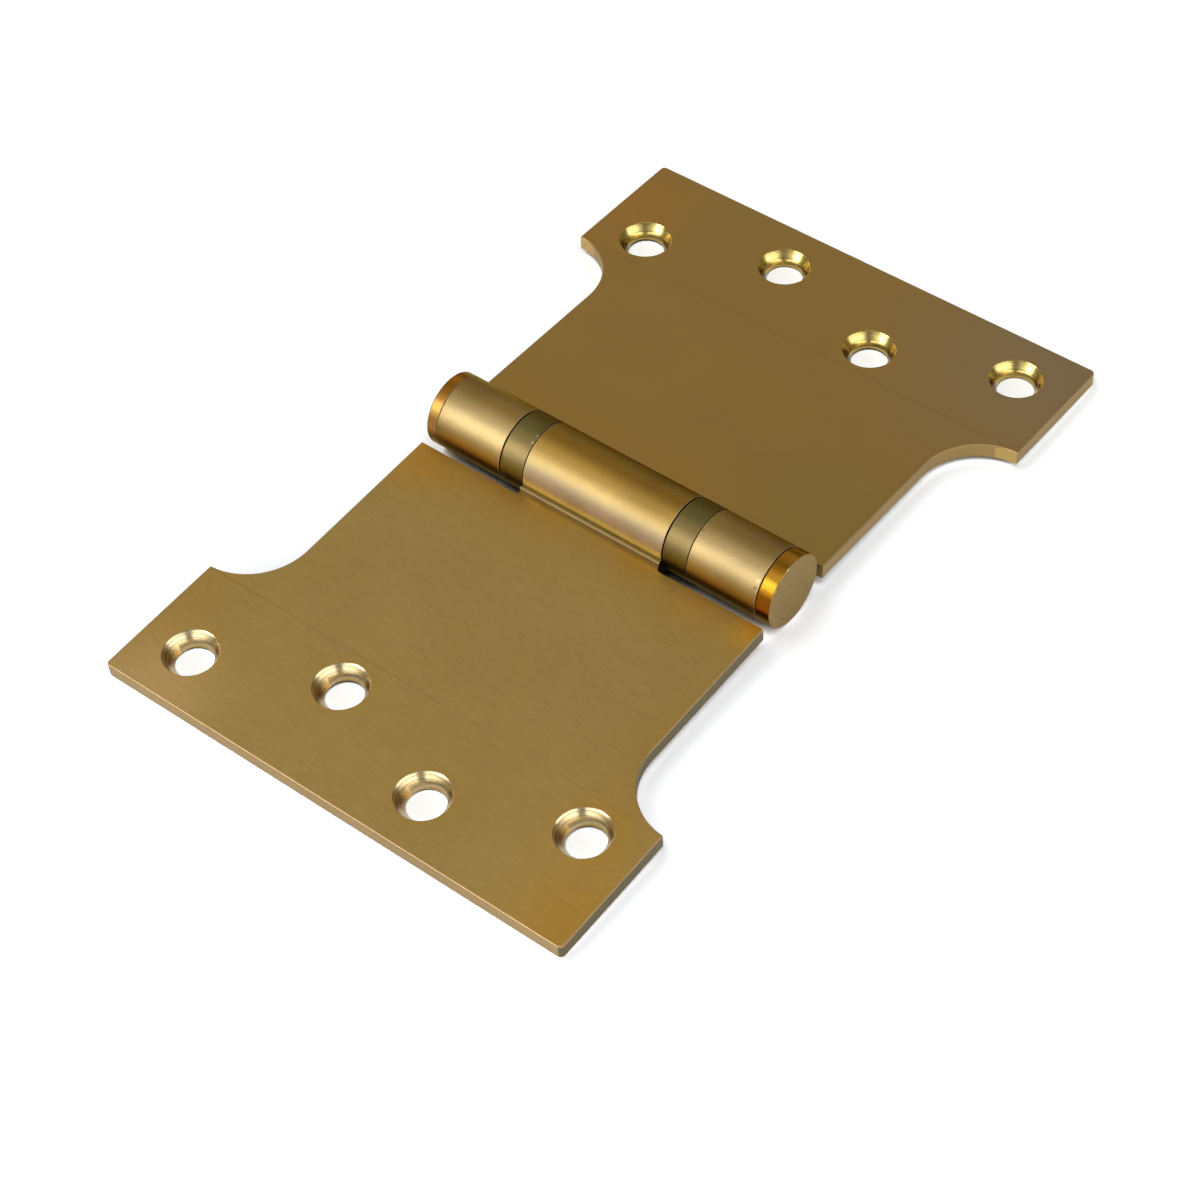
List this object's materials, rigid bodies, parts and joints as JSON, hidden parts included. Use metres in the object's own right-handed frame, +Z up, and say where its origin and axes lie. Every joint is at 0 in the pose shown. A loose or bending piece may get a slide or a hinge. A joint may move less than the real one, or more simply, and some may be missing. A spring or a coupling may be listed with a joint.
{
  "type": "parliament hinge",
  "caption": "Brass parliament hinge with T-shaped leaves, staggered countersunk screw holes, ball bearing rings between the knuckles and flat end caps.",
  "frame": {"origin": "on the surface it lies on, below the middle of the pin's axis", "axes": "+Y along the pin towards its far end, +X towards the frame leaf, +Z up out of the countersunk faces"},
  "size_m": [0.1594, 0.1, 0.0143],
  "materials": {
    "leaf": "satin",
    "cap": "polished",
    "casing": "satin",
    "pin": "satin",
    "bearing": "ground",
    "cage": "satin",
    "ball": "polished"
  },
  "bodies": {
    "frame_side": {"frame_leaf": "leaf", "pin": "pin", "cap_far": "cap", "casing_far": "casing", "race_frame_far": "bearing", "cap_near": "cap", "casing_near": "casing", "race_frame_near": "bearing"},
    "door_side": {"door_leaf": "leaf", "race_door_far": "bearing", "race_door_near": "bearing"},
    "balls_far": {"cage_far": "cage", "ball_far_01": "ball", "ball_far_02": "ball", "ball_far_03": "ball", "ball_far_04": "ball", "ball_far_05": "ball", "ball_far_06": "ball", "ball_far_07": "ball", "ball_far_08": "ball"},
    "balls_near": {"cage_near": "cage", "ball_near_01": "ball", "ball_near_02": "ball", "ball_near_03": "ball", "ball_near_04": "ball", "ball_near_05": "ball", "ball_near_06": "ball", "ball_near_07": "ball", "ball_near_08": "ball"}
  },
  "joints": [
    {"name": "hinge", "type": "hinge", "parent": "frame_side", "child": "door_side", "pos_m": [0, 0, 0.00715], "axis": [0, 1, 0], "range_deg": [-122, 184]},
    {"name": "balls_far_roll", "type": "hinge", "parent": "frame_side", "child": "balls_far", "pos_m": [0, 0, 0.00715], "axis": [0, 1, 0], "range_deg": [-61, 92]},
    {"name": "balls_near_roll", "type": "hinge", "parent": "frame_side", "child": "balls_near", "pos_m": [0, 0, 0.00715], "axis": [0, 1, 0], "range_deg": [-61, 92]}
  ],
  "couplings": [
    {"joint": "balls_far_roll", "follows": "hinge", "ratio": 0.5},
    {"joint": "balls_near_roll", "follows": "hinge", "ratio": 0.5}
  ]
}
